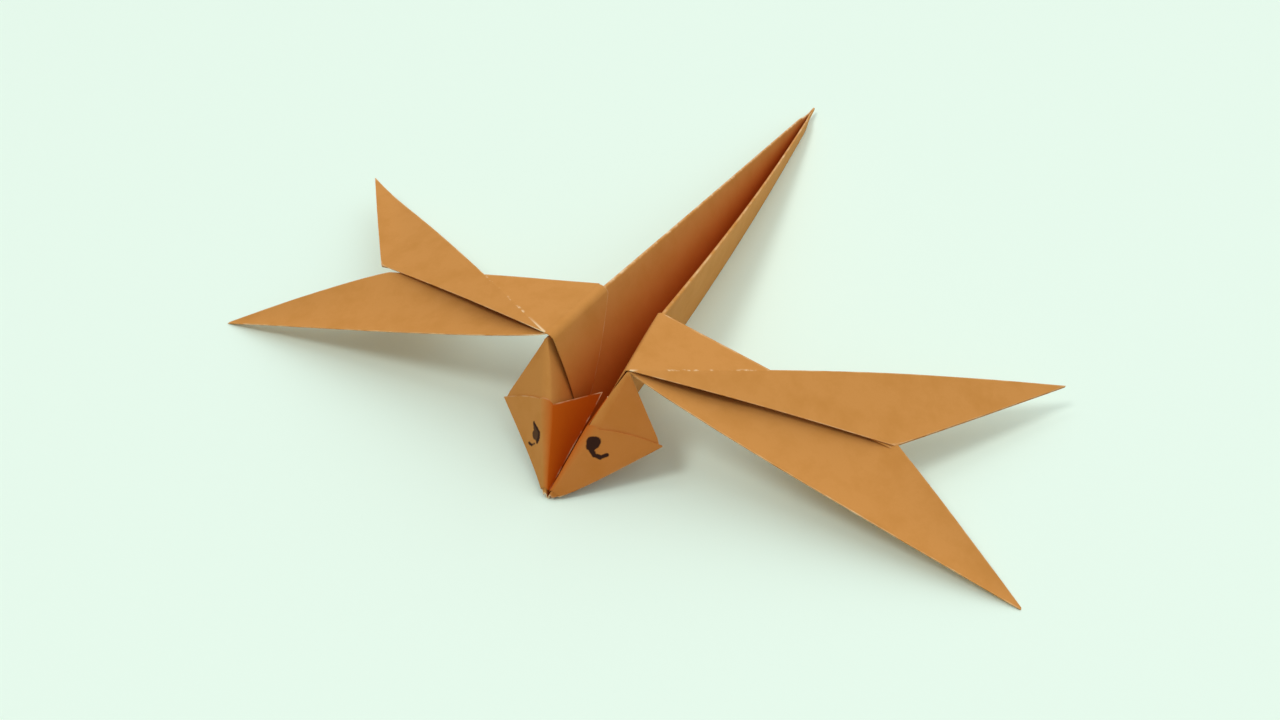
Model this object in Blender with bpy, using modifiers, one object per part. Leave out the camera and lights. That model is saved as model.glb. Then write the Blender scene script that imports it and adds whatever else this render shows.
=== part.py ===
"""Folded paper dragonfly: one sheet, modelled in metres with +Z up.

The nose points along -Y, the tail along +Y, and the wings spread along X. Each panel of the
folded sheet is an open surface with the paper's thickness. The panels join where the real
sheet is folded: in the keel, and along pressed fold beads.
"""

import math

import bmesh
import bpy
from mathutils import Vector

MM = 0.001

# Paper
PAPER = 0.15 * MM               # thickness of the sheet
LAYER_GAP = 0.15 * MM           # air between two layers that lie on each other
LAYER_STEP = PAPER + LAYER_GAP  # from the middle of one layer to the middle of the next

# Body, an open trough
BODY_LENGTH = 127.7 * MM        # nose to tail tip
HEAD_LENGTH = 15.2 * MM         # nose to the front of the wing root
ROOT_LENGTH = 16.0 * MM         # wing root, measured along the body
RIDGE_HEIGHT = 19.4 * MM        # top of the wall at the front of the wing root
WAIST_HEIGHT = 18.3 * MM        # top of the wall at the back of the wing root
RIDGE_SPREAD = 7.5 * MM         # centre of the body to the wall's top, at the front of the root
WAIST_SPREAD = 5.8 * MM         # the same at the back of the root
WALL_BELLY = 0.5 * MM           # how far the walls lean in at half height
KEEL_RADIUS = 0.25 * MM         # fold along the bottom of the trough
RIDGE_RADIUS = 0.3 * MM         # fold along the top of each wall
FOOT_START = 27.2 * MM          # where the outer wall's slanted front edge reaches the ground
FOOT_SPREAD = 2.5 * MM          # centre of the body to the outer wall's lower edge

# Nose and tail tip
NOSE_HEIGHT = 1.0 * MM
NOSE_SPREAD = 0.45 * MM
PINCH_LENGTH = 6.0 * MM         # stretch at the tail tip where the layers are pressed shut
PINCH_GRIP = 1.0 * MM           # how far the pressed tip reaches over the open walls
PINCH_END = 0.4 * MM            # width and thickness of the very tip
TAIL_RISE = 1.5 * MM            # height of the very tip's top
TAIL_BEND = -1.1 * MM           # how far the tail bends to the left at its tip

# Cheeks
CHEEK_FORWARD = 12.4 * MM       # nose to the cheek's outer corner, along the body
CHEEK_SPREAD = 14.7 * MM        # centre of the body to the outer corner
CHEEK_ROLL = 0.9 * MM           # radius of the soft roll over the ridge
POCKET_AT = 0.60                # where the pocket's top edge crosses the ridge, share of the head

# Wings, in the plane of the wing: length from the front of the root, and sweep back in degrees
FORE_LENGTH = 70.5 * MM
FORE_SWEEP = -7.6
HIND_LENGTH = 77.3 * MM
HIND_SWEEP = 28.0
NOTCH_LENGTH = 43.3 * MM
NOTCH_SWEEP = 11.6
FLAP_LENGTH = 46.0 * MM
FLAP_SWEEP = 12.0
CROSS_REACH = 0.30              # where the back edge crosses the hind wing, share of its length
TIP_WIDTH = 0.5 * MM            # how blunt each wing tip is
FRONT_SAG = 1.6 * MM            # how far the front edge sags
FLAP_LIFT = 0.4 * MM            # how far the hind wing's lower edge lifts
PANEL_START = 0.8 * MM          # inner end of the lower panel, from the ridge
UNDER_INSET = 0.2               # how far the hind wing's second layer is set in at the crossing

# Wing tab that lies on the trough's wall
TAB_FRONT = 14.4 * MM           # its lower end, along the body
TAB_WIDTH = 2.4 * MM
TAB_DEPTH = 0.80                # share of the wall that it covers

# How each side was left by the hand that folded it
RIGHT = {
    "side": 1,
    "ridge_lift": -0.6 * MM,    # walls lower or higher than the mean
    "roll": 0.7 * MM,           # radius of the wing's roll over the wall
    "droop": 12.6,              # degrees from level to the wing
    "arch": 1.9 * MM,           # upward arch of the wing's back edge
    "hind_lift": 4.1 * MM,      # hind tip above the plane of the wing
    "curl": 0.0 * MM,           # upward curl of the hind tip
    "bow": 0.9 * MM,            # outward bow of the tail's wall
    "cheek_height": 7.5 * MM,   # height of the cheek's outer corner
    "pocket_open": 1.5,         # degrees that the pocket stands off the trough's wall
}
LEFT = {
    "side": -1,
    "ridge_lift": 0.7 * MM,
    "roll": 1.5 * MM,
    "droop": 12.7,
    "arch": 1.0 * MM,
    "hind_lift": 1.1 * MM,
    "curl": 1.4 * MM,
    "bow": 0.1 * MM,
    "cheek_height": 5.9 * MM,
    "pocket_open": 9.0,
}

# How finely the surfaces are divided
WALL_STEPS = 4
ARC_STEPS = 5
LEG_STEPS = 4
CHEEK_ROWS = (0.12, 0.28, 0.46, 0.64, 0.82, 1.0)
ROOT_STATIONS = 4
TAIL_STATIONS = 11
INNER_STEPS = 5                 # along the wing, root to crossing
OUTER_STEPS = 6                 # along the wing, crossing to tip
PANEL_STEPS = 4                 # across each panel
BEAD_SIDES = 8

PAPER_COLOUR = (0.58, 0.27, 0.06, 1.0)
PAPER_ROUGHNESS = 0.75

ROOT_BACK = HEAD_LENGTH + ROOT_LENGTH
WELD = 0.01 * MM                # points closer than this are one point
SLIVER = 0.002 * MM             # edges shorter than this, left by a join, close up
GROUND = PAPER / 2              # height of the sheet's middle where it lies on the ground


def clear_scene():
    for thing in list(bpy.data.objects):
        bpy.data.objects.remove(thing, do_unlink=True)


def mix(start, end, share):
    return start + (end - start) * share


def spaced(count):
    """Evenly spaced shares from 0 to 1."""
    return [index / count for index in range(count + 1)]


def mirrored(point, pose):
    """A point of the right side, moved to the side of the given pose."""
    return Vector((point.x * pose["side"], point.y, point.z))


def arc(centre, radius, start, end, steps):
    """Points (x, z) along an arc between two angles in radians."""
    return [
        Vector((centre.x + radius * math.cos(angle), centre.y + radius * math.sin(angle)))
        for angle in (mix(start, end, share) for share in spaced(steps))
    ]


# The body's outline, as functions of the place y along it

def tail_share(y):
    return (y - ROOT_BACK) / (BODY_LENGTH - ROOT_BACK)


def ridge_spread(y, pose):
    if y <= HEAD_LENGTH:
        return mix(NOSE_SPREAD, RIDGE_SPREAD, y / HEAD_LENGTH)
    if y <= ROOT_BACK:
        return mix(RIDGE_SPREAD, WAIST_SPREAD, (y - HEAD_LENGTH) / ROOT_LENGTH)
    share = tail_share(y)
    return mix(WAIST_SPREAD, PINCH_END / 2, share) + pose["bow"] * math.sin(math.pi * share)


def ridge_height(y, pose):
    if y <= HEAD_LENGTH:
        share = y / HEAD_LENGTH
        return mix(NOSE_HEIGHT, RIDGE_HEIGHT + pose["ridge_lift"], share)
    if y <= ROOT_BACK:
        share = (y - HEAD_LENGTH) / ROOT_LENGTH
        return mix(RIDGE_HEIGHT, WAIST_HEIGHT, share) + pose["ridge_lift"]
    return mix(WAIST_HEIGHT + pose["ridge_lift"], TAIL_RISE, tail_share(y))


def tail_bend(y):
    """Sideways shift of the whole section at y, from the root to the tail tip."""
    return TAIL_BEND * max(0.0, tail_share(y)) ** 1.6


def ridge_radius(y):
    """The soft roll of the cheeks swells from the nose and closes to a fold at the root."""
    if y >= HEAD_LENGTH:
        return mix(RIDGE_RADIUS, PAPER, max(0.0, tail_share(y)))
    share = y / HEAD_LENGTH
    return mix(PAPER, RIDGE_RADIUS, share) + CHEEK_ROLL * math.sin(math.pi * share ** 1.5)


def ridge_centre(y, pose):
    """Centre (x, z) of the fold along the top of the right wall."""
    return Vector((ridge_spread(y, pose), ridge_height(y, pose) - ridge_radius(y)))


def beside_ridge(y, pose):
    """A point (x, z) just outside the fold along the top of the wall."""
    reach = ridge_radius(y) + PAPER
    return ridge_centre(y, pose) + Vector((reach, -reach))


def leg_end(y, pose):
    """Lower end (x, z) of what hangs outside the ridge: first the cheek, then the outer wall."""
    corner = Vector((CHEEK_SPREAD, pose["cheek_height"]))
    root = beside_ridge(HEAD_LENGTH, pose)
    foot = Vector((FOOT_SPREAD, GROUND))
    if y <= CHEEK_FORWARD:
        return beside_ridge(0.0, pose).lerp(corner, y / CHEEK_FORWARD)
    if y <= HEAD_LENGTH:
        return corner.lerp(root, (y - CHEEK_FORWARD) / (HEAD_LENGTH - CHEEK_FORWARD))
    if y <= FOOT_START:
        return root.lerp(foot, (y - HEAD_LENGTH) / (FOOT_START - HEAD_LENGTH))
    share = (y - FOOT_START) / (BODY_LENGTH - FOOT_START)
    spread = mix(FOOT_SPREAD, PINCH_END, share) + pose["bow"] * math.sin(math.pi * share)
    return Vector((spread, GROUND))


def wall_foot(y, pose):
    """Where the wall leaves the keel's fold, and that fold's centre."""
    lean = math.atan2(ridge_spread(y, pose), ridge_height(y, pose))
    radius = min(KEEL_RADIUS, ridge_height(y, pose) / 5)
    centre = Vector((0.0, GROUND + radius))
    return centre + radius * Vector((math.cos(lean), -math.sin(lean))), centre, radius, lean


def inner_tangent(centre, radius, point):
    """Angle at which a line from a point below touches the fold on the trough's side."""
    away = point - centre
    return math.atan2(away.y, away.x) % math.tau - math.acos(radius / away.length)


def outer_tangent(centre, radius, point):
    away = point - centre
    return math.atan2(away.y, away.x) + math.acos(min(1.0, radius / away.length))


def wall_point(bottom, top, share, belly):
    """A point (x, z) on the wall, which leans in at half height."""
    point = bottom.lerp(top, share)
    return Vector((point.x - belly * math.sin(math.pi * share), point.y))


def half_section(y, pose):
    """Right half of the body's section at y: keel fold, wall, ridge, and cheek or outer wall."""
    bottom, keel, keel_radius, lean = wall_foot(y, pose)
    points = arc(keel, keel_radius, -math.pi / 2, -lean, 2)[:-1]
    centre, radius = ridge_centre(y, pose), ridge_radius(y)
    end = leg_end(y, pose)
    start_angle = inner_tangent(centre, radius, bottom)
    bend = arc(centre, radius, start_angle, outer_tangent(centre, radius, end), ARC_STEPS)
    belly = WALL_BELLY * ridge_height(y, pose) / RIDGE_HEIGHT
    points += [wall_point(bottom, bend[0], share, belly) for share in spaced(WALL_STEPS)[:-1]]
    points += bend
    points += [bend[-1].lerp(end, share) for share in spaced(LEG_STEPS)[1:]]
    return points


def outer_leg(y, pose, layer=0.0):
    """Upper end, lower end and normal angle of a layer outside the ridge."""
    centre, radius = ridge_centre(y, pose), ridge_radius(y)
    end = leg_end(y, pose)
    angle = outer_tangent(centre, radius, end)
    normal = Vector((math.cos(angle), math.sin(angle)))
    return centre + normal * (radius + layer), end + normal * layer, angle


def body_stations():
    head = [0.0] + [CHEEK_FORWARD * share for share in CHEEK_ROWS]
    head += [mix(CHEEK_FORWARD, HEAD_LENGTH, share) for share in spaced(2)]
    root = [mix(HEAD_LENGTH, FOOT_START, share) for share in spaced(ROOT_STATIONS)]
    tail = [mix(ROOT_BACK, BODY_LENGTH - PINCH_LENGTH, share) for share in spaced(TAIL_STATIONS)]
    return sorted(set(head + root + tail))


# Blender objects

def surface(name, *grids):
    """An open surface with the paper's thickness, through one or more grids that share edges."""
    mesh = bpy.data.meshes.new(name)
    sheet = bmesh.new()
    for rows in grids:
        verts = [[sheet.verts.new(point) for point in row] for row in rows]
        for lower, upper in zip(verts, verts[1:]):
            for index in range(len(lower) - 1):
                corners = (lower[index], lower[index + 1], upper[index + 1], upper[index])
                sheet.faces.new(corners)
    bmesh.ops.remove_doubles(sheet, verts=sheet.verts, dist=WELD)
    bmesh.ops.recalc_face_normals(sheet, faces=sheet.faces)
    sheet.to_mesh(mesh)
    sheet.free()
    panel = bpy.data.objects.new(name, mesh)
    thickness = panel.modifiers.new("paper thickness", "SOLIDIFY")
    thickness.thickness = PAPER
    thickness.offset = 0.0
    thickness.use_even_offset = True
    panel.modifiers.new("flat faces", "TRIANGULATE")
    return panel


def bead(name, points, radii):
    """A pressed fold: a round bead along the edge where two layers meet."""
    curve = bpy.data.curves.new(name, "CURVE")
    curve.dimensions = "3D"
    curve.bevel_depth = 1.0
    curve.bevel_resolution = BEAD_SIDES // 4
    curve.use_fill_caps = True
    spline = curve.splines.new("POLY")
    spline.points.add(len(points) - 1)
    for target, point, radius in zip(spline.points, points, radii):
        target.co = (*point, 1.0)
        target.radius = radius
    tube = bpy.data.objects.new(name, curve)
    bpy.context.scene.collection.objects.link(tube)
    bpy.context.view_layer.update()
    shape = tube.evaluated_get(bpy.context.evaluated_depsgraph_get())
    mesh = bpy.data.meshes.new_from_object(shape)
    bpy.data.objects.remove(tube, do_unlink=True)
    welded = bmesh.new()
    welded.from_mesh(mesh)
    bmesh.ops.remove_doubles(welded, verts=welded.verts, dist=WELD)
    bmesh.ops.recalc_face_normals(welded, faces=welded.faces)
    welded.to_mesh(mesh)
    welded.free()
    pressed = bpy.data.objects.new(name, mesh)
    pressed.modifiers.new("flat faces", "TRIANGULATE")
    return pressed


def fold_radius(step):
    """A fold's bead reaches into both layers, and stays inside their outer faces."""
    return step / 2 + PAPER / 4


def body():
    rows = []
    for y in body_stations():
        bend = tail_bend(y)
        right = [Vector((bend + point.x, y, point.y)) for point in half_section(y, RIGHT)]
        left = [Vector((bend - point.x, y, point.y)) for point in half_section(y, LEFT)]
        rows.append(list(reversed(left))[:-1] + right)
    return surface("folded_sheet", rows)


def pinch_corner(at_tip, top, pose):
    """A corner (x, z) of the pressed tail tip, just inside the open walls that it grips."""
    if at_tip:
        return Vector((PINCH_END / 2, TAIL_RISE if top else TAIL_RISE - PINCH_END))
    start = BODY_LENGTH - PINCH_LENGTH - PINCH_GRIP
    if top:
        spread = ridge_spread(start, pose) + ridge_radius(start)
        return Vector((spread, ridge_height(start, pose)))
    return leg_end(start, pose)


def tail_pinch():
    """The last stretch of the tail, where all its layers are pressed into one point."""
    mesh = bpy.data.meshes.new("tail_pinch")
    solid = bmesh.new()
    bmesh.ops.create_cube(solid, size=1.0)
    for vert in solid.verts:
        at_tip = vert.co.y > 0
        pose = RIGHT if vert.co.x > 0 else LEFT
        place = BODY_LENGTH if at_tip else BODY_LENGTH - PINCH_LENGTH - PINCH_GRIP
        corner = pinch_corner(at_tip, vert.co.z > 0, pose)
        vert.co = Vector((corner.x * pose["side"] + tail_bend(place), place, corner.y))
    solid.to_mesh(mesh)
    solid.free()
    pinch = bpy.data.objects.new("tail_pinch", mesh)
    pinch.modifiers.new("flat faces", "TRIANGULATE")
    return pinch


# The wing's own frame, on the right side of the body

class Wing:
    def __init__(self, pose):
        self.pose = pose
        droop = math.radians(pose["droop"])
        front = self.ridge(0.0)
        back = self.ridge(1.0)
        self.back_axis = (back - front).normalized()
        level = Vector((math.cos(droop), 0.0, -math.sin(droop)))
        self.out_axis = (level - self.back_axis * level.dot(self.back_axis)).normalized()
        self.normal = self.out_axis.cross(self.back_axis)
        self.origin = front + self.normal * pose["roll"]
        self.fore = self.place(FORE_LENGTH, FORE_SWEEP)
        self.hind = self.place(HIND_LENGTH, HIND_SWEEP)
        self.notch = self.place(NOTCH_LENGTH, NOTCH_SWEEP)
        self.flap = self.place(FLAP_LENGTH, FLAP_SWEEP)
        self.root = Vector((0.0, (back - front).length))
        self.cross = self.hind * CROSS_REACH
        flat_tip = self.origin + self.out_axis * self.fore.x + self.back_axis * self.fore.y
        self.fore_dip = (flat_tip.z - GROUND) / self.normal.z

    def ridge(self, share):
        y = mix(HEAD_LENGTH, ROOT_BACK, share)
        centre = ridge_centre(y, self.pose)
        return Vector((centre.x, y, centre.y))

    def place(self, length, sweep):
        angle = math.radians(sweep)
        return Vector((length * math.cos(angle), length * math.sin(angle)))

    def to_body(self, flat, height):
        point = self.origin + self.out_axis * flat.x + self.back_axis * flat.y
        return mirrored(point + self.normal * height, self.pose)

    def crease_height(self, out):
        """Height over the plane of the wing, along the crease, the rear and the back edge."""
        arch = self.pose["arch"] * math.sin(math.pi * min(1.0, out / self.notch.x)) ** 2
        curl = self.pose["curl"] * max(0.0, 5 * out / self.hind.x - 4) ** 2
        return self.pose["hind_lift"] * (out / self.hind.x) ** 1.5 + arch + curl

    def stations(self):
        """Places along the hind wing, as shares of its length, with one at the crossing."""
        inner = [CROSS_REACH * share for share in spaced(INNER_STEPS)]
        outer = [mix(CROSS_REACH, 1.0, share) for share in spaced(OUTER_STEPS)]
        return inner, outer

    def root_panel(self, along, across):
        """Between the crease (across 0) and the back edge (across 1), root to crossing."""
        share = along / CROSS_REACH
        flat = (self.cross * share).lerp(self.root.lerp(self.cross, share), across)
        return self.to_body(flat, self.crease_height(flat.x))

    def hind_height(self, along, across):
        """Height of the hind wing between its lower edge (0) and its rear fold (1)."""
        low = FLAP_LIFT * math.sin(math.pi * along)
        return mix(low, self.crease_height(self.hind.x * along), across)

    def hind_wing(self, along, across, depth=0.0):
        tip = self.hind + Vector((0.0, -TIP_WIDTH)) * (1 - across)
        flat = (self.flap * along).lerp(tip * along, across)
        return self.to_body(flat, self.hind_height(along, across) - depth)

    def back_edge(self, out):
        """The back edge, from the root to the crossing and from there to the notch."""
        if out <= self.cross.x:
            return self.root.lerp(self.cross, out / self.cross.x)
        share = (out - self.cross.x) / (self.notch.x - self.cross.x)
        return self.cross.lerp(self.notch, share)

    def layer_depth(self, out):
        """How far the lower panel lies under the upper one, along the back edge."""
        return LAYER_STEP * (1 + min(1.0, out / self.cross.x))

    def back_height(self, out):
        """Height of the upper layer over the back edge, on the root or below the hind wing."""
        if out <= self.cross.x:
            return self.crease_height(out)
        flat = self.back_edge(out)
        by_flap = flat.cross(self.hind) / self.flap.cross(self.hind)
        by_hind = flat.cross(self.flap) / self.hind.cross(self.flap)
        return self.hind_height(by_flap + by_hind, by_hind / (by_flap + by_hind))

    def fore_wing(self, out, across):
        """Between the front edge (across 0) and the back and outer edge (across 1)."""
        along = (out - PANEL_START) / (self.fore.x - PANEL_START)
        front = Vector((PANEL_START, 0.0)).lerp(self.fore, along)
        sag = LAYER_STEP * (1 - along) + FRONT_SAG * math.sin(math.pi * along ** 0.7)
        low = -sag - self.fore_dip * along ** 1.5
        if out <= self.notch.x:
            back = self.back_edge(out)
            high = self.back_height(out) - self.layer_depth(out)
        else:
            share = (out - self.notch.x) / (self.fore.x - self.notch.x)
            back = self.notch.lerp(self.fore + Vector((0.0, TIP_WIDTH)), share)
            start = self.back_height(self.notch.x) - self.layer_depth(self.notch.x)
            high = mix(start, -self.fore_dip, share ** 1.3)
        return self.to_body(front.lerp(back, across), mix(low, high, across ** 2))

    def root_outs(self):
        """Places along the back edge, from beside the ridge to the crossing."""
        return [PANEL_START] + [self.cross.x * share for share in spaced(INNER_STEPS)[1:]]


def tab_row(wing, across):
    """From the tab's lower end up the trough's wall and over the ridge, at one place across."""
    pose = wing.pose
    y = mix(HEAD_LENGTH, ROOT_BACK, across)
    tab_y = TAB_FRONT + TAB_WIDTH * across
    bottom = wall_foot(tab_y, pose)[0]
    top = ridge_centre(tab_y, pose) - Vector((ridge_radius(tab_y), 0.0))
    tab_end = top.lerp(bottom, TAB_DEPTH)
    centre = ridge_centre(y, pose)
    start = inner_tangent(centre, pose["roll"], tab_end)
    over = math.atan2(wing.normal.z, wing.normal.x)
    bend = arc(centre, pose["roll"], start, over, ARC_STEPS)
    row = []
    for share in spaced(WALL_STEPS)[:-1]:
        point = wall_point(tab_end, bend[0], share, WALL_BELLY)
        row.append(mirrored(Vector((point.x, mix(tab_y, y, share), point.y)), pose))
    return row + [mirrored(Vector((point.x, y, point.y)), pose) for point in bend[:-1]]


def upper_panel(pose):
    """Tab in the trough, soft roll over the wall, and the panel that ends in the hind wing."""
    wing = Wing(pose)
    inner, outer = wing.stations()
    root = [
        tab_row(wing, across) + [wing.root_panel(along, across) for along in inner]
        for across in spaced(PANEL_STEPS)
    ]
    hind = [
        [wing.hind_wing(along, across) for along in inner + outer[1:]]
        for across in spaced(PANEL_STEPS)
    ]
    return surface("upper_panel", root, hind)


def lower_panel(pose):
    wing = Wing(pose)
    outs = wing.root_outs()
    outs += [mix(wing.cross.x, wing.notch.x, share) for share in spaced(3)[1:]]
    outs += [mix(wing.notch.x, wing.fore.x, share) for share in spaced(4)[1:]]
    rows = [[wing.fore_wing(out, across) for out in outs] for across in spaced(PANEL_STEPS)]
    return surface("lower_panel", rows)


def back_fold(pose):
    """The fold between upper and lower panel, from the root to where the hind wing crosses."""
    wing = Wing(pose)
    outs = wing.root_outs()
    points = [
        wing.to_body(wing.back_edge(out), wing.back_height(out) - wing.layer_depth(out) / 2)
        for out in outs
    ]
    return bead("back_fold", points, [fold_radius(wing.layer_depth(out)) for out in outs])


def under_layer(pose):
    """Second layer of the hind wing, below the upper panel and set in from its lower edge."""
    wing = Wing(pose)
    outer = wing.stations()[1]
    rows = []
    for across in spaced(PANEL_STEPS):
        insets = [mix(UNDER_INSET, 0.0, share) for share in spaced(OUTER_STEPS)]
        rows.append([
            wing.hind_wing(along, mix(inset, 1.0, across), LAYER_STEP)
            for along, inset in zip(outer, insets)
        ])
    return surface("under_layer", rows)


def rear_fold(pose):
    """The fold along the hind wing's rear edge, which starts inside the fold of the back edge."""
    wing = Wing(pose)
    start = wing.cross.x * 0.97
    inside = wing.back_height(start) - wing.layer_depth(start) / 2
    points = [wing.to_body(wing.back_edge(start), inside)]
    points += [wing.hind_wing(along, 1.0, LAYER_STEP / 2) for along in wing.stations()[1][1:]]
    return bead("rear_fold", points, [fold_radius(LAYER_STEP)] * len(points))


def pocket_corner(pose):
    """From the ridge to the pocket's free corner, which stands off the trough's wall."""
    axis = Vector((RIDGE_SPREAD, HEAD_LENGTH, RIDGE_HEIGHT + pose["ridge_lift"])).normalized()
    at = HEAD_LENGTH * POCKET_AT
    end = outer_leg(CHEEK_FORWARD, pose)[1]
    top = ridge_centre(at, pose)
    away = Vector((end.x - top.x, CHEEK_FORWARD - at, end.y - top.y))
    rise = away.dot(axis)
    half = (away - axis * rise).length
    down = (Vector((0.0, 1.0, 0.0)) - axis * axis.y).normalized()
    turn = math.radians(pose["pocket_open"])
    inward = down * math.cos(turn) + axis.cross(down) * math.sin(turn)
    return inward * half + axis * rise


def pocket_row(share, pose):
    """The pocket's section at a share of its length: outer half, roll, inner half."""
    at = HEAD_LENGTH * POCKET_AT
    row = []
    for reach in reversed(spaced(LEG_STEPS)[1:]):
        y = share * mix(at, CHEEK_FORWARD, reach)
        start, end, _ = outer_leg(y, pose, LAYER_STEP)
        point = start.lerp(end, reach)
        row.append(Vector((point.x, y, point.y)))
    y = share * at
    centre, radius = ridge_centre(y, pose), ridge_radius(y) + LAYER_STEP
    inner = inner_tangent(centre, radius, wall_foot(y, pose)[0])
    inner -= math.radians(pose["pocket_open"])
    bend = arc(centre, radius, outer_leg(y, pose)[2], inner, ARC_STEPS)
    row += [Vector((point.x, y, point.y)) for point in bend]
    corner = pocket_corner(pose)
    row += [row[-1] + corner * share * reach for reach in spaced(LEG_STEPS)[1:]]
    return [mirrored(point, pose) for point in row]


def head_pocket(pose):
    """Front layer of a cheek, from the nose up over the ridge and into the trough."""
    return surface("head_pocket", [pocket_row(share, pose) for share in CHEEK_ROWS])


def cheek_fold(pose):
    """The fold along the cheek's lower edge, from the nose to its corner."""
    points = []
    for share in CHEEK_ROWS:
        y = CHEEK_FORWARD * share
        end = outer_leg(y, pose, LAYER_STEP / 2)[1]
        points.append(mirrored(Vector((end.x, y, end.y)), pose))
    return bead("cheek_fold", points, [fold_radius(LAYER_STEP)] * len(points))


def paper_material():
    paper = bpy.data.materials.new("paper")
    paper.use_nodes = True
    shader = paper.node_tree.nodes["Principled BSDF"]
    shader.inputs["Base Color"].default_value = PAPER_COLOUR
    shader.inputs["Roughness"].default_value = PAPER_ROUGHNESS
    shader.inputs["Metallic"].default_value = 0.0
    return paper


def centre_on_ground(dragonfly, pieces):
    """Put the origin in the middle of the footprint, at the height of the ground."""
    bpy.context.view_layer.update()
    shape = dragonfly.evaluated_get(bpy.context.evaluated_depsgraph_get())
    corners = [Vector(corner) for corner in shape.bound_box]
    low = Vector([min(corner[axis] for corner in corners) for axis in range(3)])
    high = Vector([max(corner[axis] for corner in corners) for axis in range(3)])
    for piece in [dragonfly, *pieces]:
        piece.location -= Vector(((low.x + high.x) / 2, (low.y + high.y) / 2, low.z))


def main():
    clear_scene()
    parts = bpy.data.collections.new("paper_dragonfly")
    layers = bpy.data.collections.new("layers")
    bpy.context.scene.collection.children.link(parts)
    bpy.context.scene.collection.children.link(layers)
    dragonfly = body()
    dragonfly.data.materials.append(paper_material())
    parts.objects.link(dragonfly)
    pieces = [tail_pinch()]
    for pose in (RIGHT, LEFT):
        pieces += [upper_panel(pose), lower_panel(pose), back_fold(pose)]
        pieces += [under_layer(pose), rear_fold(pose), head_pocket(pose), cheek_fold(pose)]
    for piece in pieces:
        layers.objects.link(piece)
        piece.hide_render = True
        piece.display_type = "WIRE"
        join = dragonfly.modifiers.new("join " + piece.name, "BOOLEAN")
        join.operation = "UNION"
        join.solver = "EXACT"
        join.object = piece
    close_up = dragonfly.modifiers.new("close slivers", "WELD")
    close_up.merge_threshold = SLIVER
    centre_on_ground(dragonfly, pieces)


main()
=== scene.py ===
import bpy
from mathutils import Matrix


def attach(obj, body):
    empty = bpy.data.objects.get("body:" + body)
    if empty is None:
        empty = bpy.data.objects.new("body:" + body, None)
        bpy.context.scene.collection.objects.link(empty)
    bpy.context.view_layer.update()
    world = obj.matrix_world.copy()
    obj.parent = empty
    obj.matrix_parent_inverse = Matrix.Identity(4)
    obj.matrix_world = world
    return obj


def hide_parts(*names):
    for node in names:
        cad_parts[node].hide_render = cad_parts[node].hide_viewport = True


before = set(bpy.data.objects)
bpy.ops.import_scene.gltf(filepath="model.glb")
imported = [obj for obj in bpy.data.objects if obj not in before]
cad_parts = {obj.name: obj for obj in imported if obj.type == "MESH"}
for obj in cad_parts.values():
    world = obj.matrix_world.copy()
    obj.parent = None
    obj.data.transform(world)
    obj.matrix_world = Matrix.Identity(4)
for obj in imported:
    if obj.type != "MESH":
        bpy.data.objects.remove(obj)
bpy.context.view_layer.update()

import math

import bmesh
import bpy
from mathutils import Matrix, Vector, noise

# Trough and cheeks
# The middle of a square of craft paper, pressed along the keel and along the top of both walls.
# In front the paper outside the walls opens into two cheeks, behind it hangs to the ground as
# outer walls. Sizes are in millimetres, with the nose at y = 0 and the keel on x = 0.
PAPER = 0.15
LAYER_STEP = 0.30
GROUND = PAPER / 2
NOSE_IN_FRAME = Vector((-0.1479, -63.8198, 0.0306))
BODY_LENGTH = 127.7
HEAD_LENGTH = 15.2
ROOT_BACK = 31.2
FOOT_START = 27.2
NOSE_SPREAD, ROOT_SPREAD, WAIST_SPREAD, TAIL_SPREAD = 0.45, 7.5, 5.8, 0.2
NOSE_HEIGHT, ROOT_HEIGHT, WAIST_HEIGHT, TAIL_HEIGHT = 1.0, 19.4, 18.3, 1.5
FOOT_SPREAD, TAIL_FOOT_SPREAD = 2.5, 0.4
KEEL_RADIUS = 0.25
RIDGE_RADIUS = 0.3
CHEEK_ROLL = 0.9
WALL_BELLY = 0.5
CHEEK_FORWARD = 12.4
CHEEK_SPREAD = 14.7
TAIL_BEND = -1.1
PINCH_START = 119.8
PINCH_WIDTH = 0.42
PINCH_LIFT, PINCH_THICKNESS = 1.1, 0.25
KEEL_STEPS, WALL_STEPS, RIDGE_STEPS, LEG_STEPS = 4, 12, 8, 10
HEAD_ROWS, TAIL_ROWS = 31, 74

# The two sides differ, as sides folded by hand do. Lifts, heights and bows are in millimetres,
# and cheek_shade is the cheek's share of the shade tint.
RIGHT = {"side": 1, "ridge_lift": -0.6, "bow": 0.9, "cheek_height": 7.5, "cheek_bow": 0.35,
         "cheek_shade": 0.38}
LEFT = {"side": -1, "ridge_lift": 0.7, "bow": 0.1, "cheek_height": 5.9, "cheek_bow": -0.4,
        "cheek_shade": 0.10}


def mix(start, end, share):
    return start + (end - start) * share


def spaced(count):
    return [index / count for index in range(count + 1)]


def mirrored(point, pose):
    return Vector((point.x * pose["side"], point.y, point.z))


def arc(centre, radius, start, end, steps):
    """Points (x, z) along an arc between two angles."""
    angles = [mix(start, end, share) for share in spaced(steps)]
    return [centre + radius * Vector((math.cos(angle), math.sin(angle))) for angle in angles]


def tail_share(y):
    return max(0.0, (y - ROOT_BACK) / (BODY_LENGTH - ROOT_BACK))


def ridge_spread(y, pose):
    """Distance from the keel to the top of the wall."""
    if y <= HEAD_LENGTH:
        return mix(NOSE_SPREAD, ROOT_SPREAD, y / HEAD_LENGTH)
    if y <= ROOT_BACK:
        share = (y - HEAD_LENGTH) / (ROOT_BACK - HEAD_LENGTH)
        return mix(ROOT_SPREAD, WAIST_SPREAD, share)
    share = tail_share(y)
    return mix(WAIST_SPREAD, TAIL_SPREAD, share) + pose["bow"] * math.sin(math.pi * share)


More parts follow.
